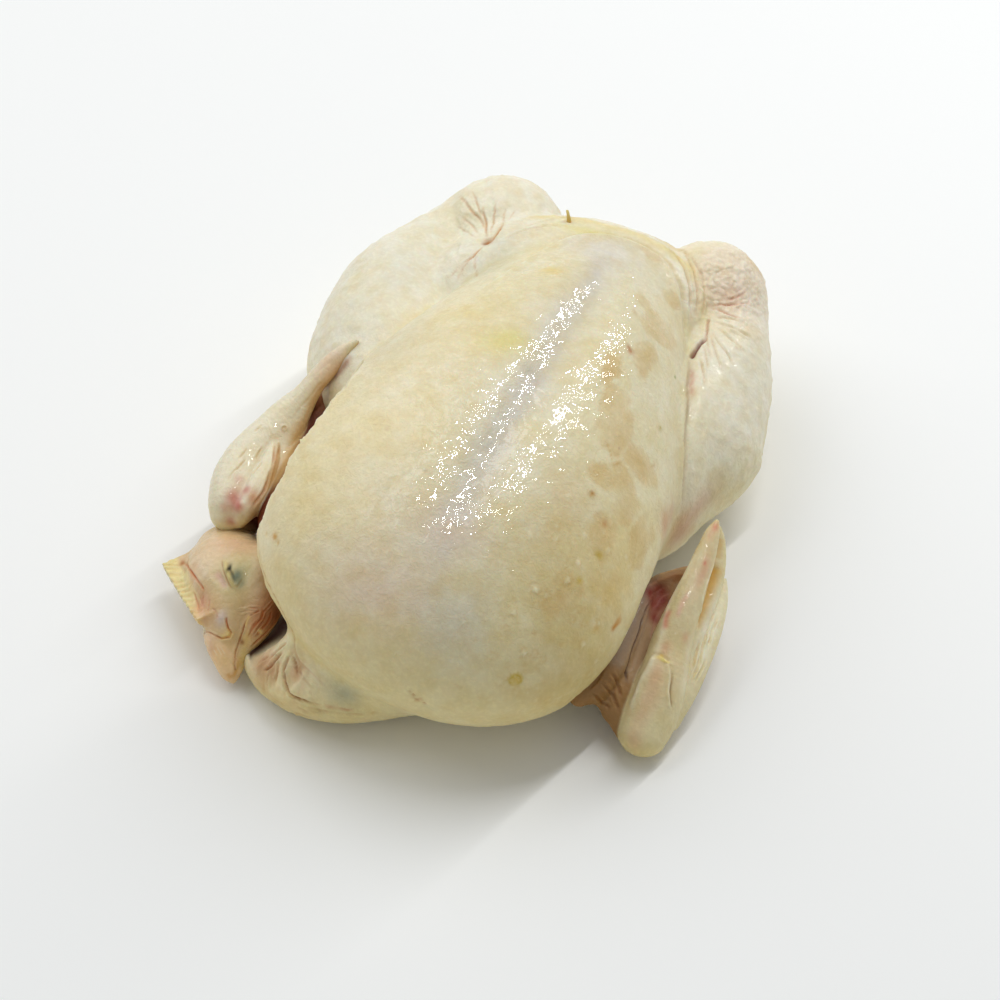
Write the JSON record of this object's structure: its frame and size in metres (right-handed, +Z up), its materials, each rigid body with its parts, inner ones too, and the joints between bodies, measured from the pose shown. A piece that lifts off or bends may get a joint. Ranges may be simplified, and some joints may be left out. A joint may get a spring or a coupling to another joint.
{
  "type": "whole raw chicken",
  "caption": "Whole raw chicken lying on its back, legs drawn up and hocks tucked in, wings folded at its sides, neck curled round and the head lying beside the breast.",
  "frame": {"origin": "centre of the bird's plan box, on the level its flattened underside rests on", "axes": "+Z up from the plate, +Y toward the tail, -Y toward the neck, +X to the viewer's right when the viewer stands at the neck end; the head lies at the -X, -Y corner"},
  "size_m": [0.201, 0.2478, 0.0987],
  "materials": {
    "raw_skin": "moist, pale cream-yellow translucent skin with a satin wet sheen"
  },
  "bodies": {
    "root": {"chicken": "raw_skin"}
  },
  "joints": []
}
